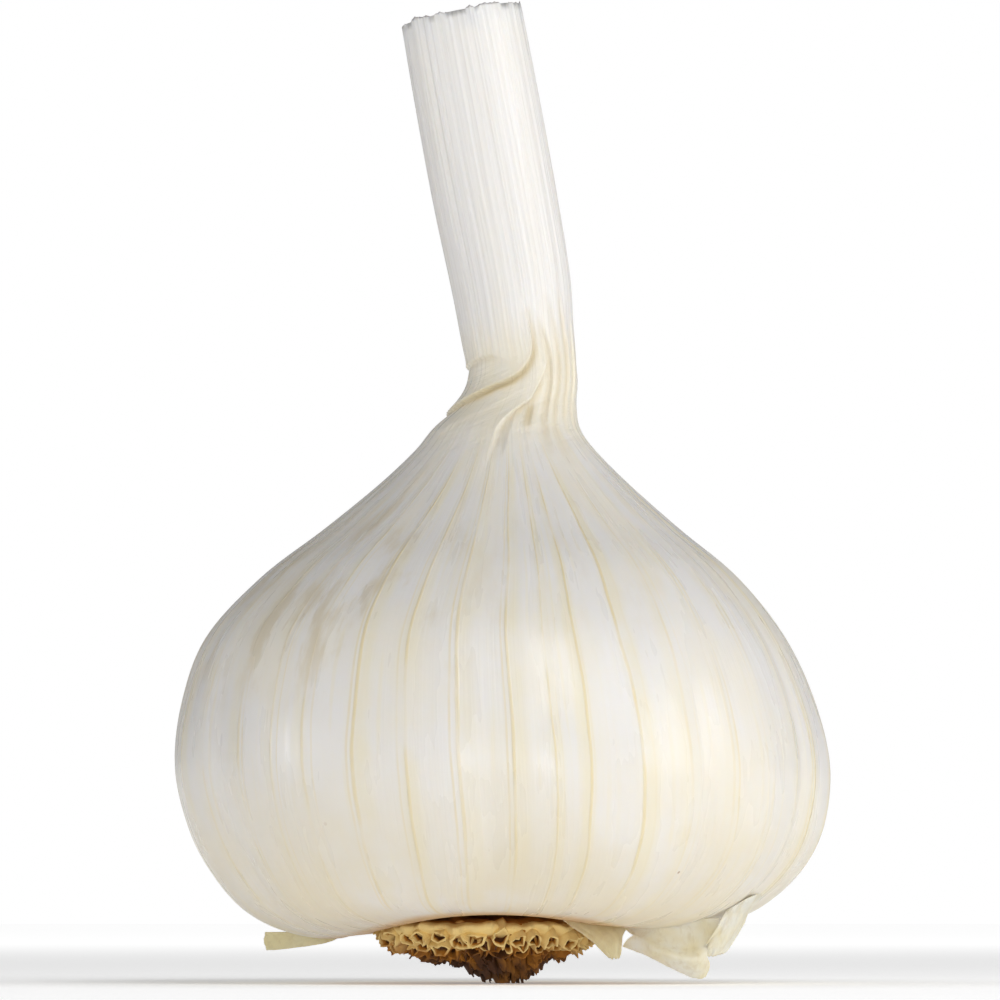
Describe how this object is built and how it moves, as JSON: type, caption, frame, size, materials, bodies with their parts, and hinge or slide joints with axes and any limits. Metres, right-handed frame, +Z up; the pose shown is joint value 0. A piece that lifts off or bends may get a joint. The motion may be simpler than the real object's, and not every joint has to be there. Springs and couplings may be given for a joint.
{
  "type": "garlic bulb",
  "caption": "Whole dry garlic bulb in white papery skin, with a leaning cut neck, a trimmed root plate and loose scraps of skin.",
  "frame": {"origin": "in the small flat spot under the trimmed roots that the bulb stands on, on the axis of the bulb's body", "axes": "+Z up through the bulb to its neck, -Y to the front that the picture shows, +X to the right seen from the front; the neck leans towards -X"},
  "size_m": [0.0603, 0.0602, 0.0908],
  "materials": {
    "bulb_skin": "satin, dry outer skin with fine tan veins",
    "roots": "rough, dry and fibrous",
    "loose_skin": "satin, thin and slightly see-through"
  },
  "bodies": {
    "root": {"bulb_and_neck": "bulb_skin", "root_plate": "roots", "loose_skin_right": "loose_skin", "loose_skin_left": "loose_skin", "loose_skin_tag": "loose_skin"}
  },
  "joints": []
}
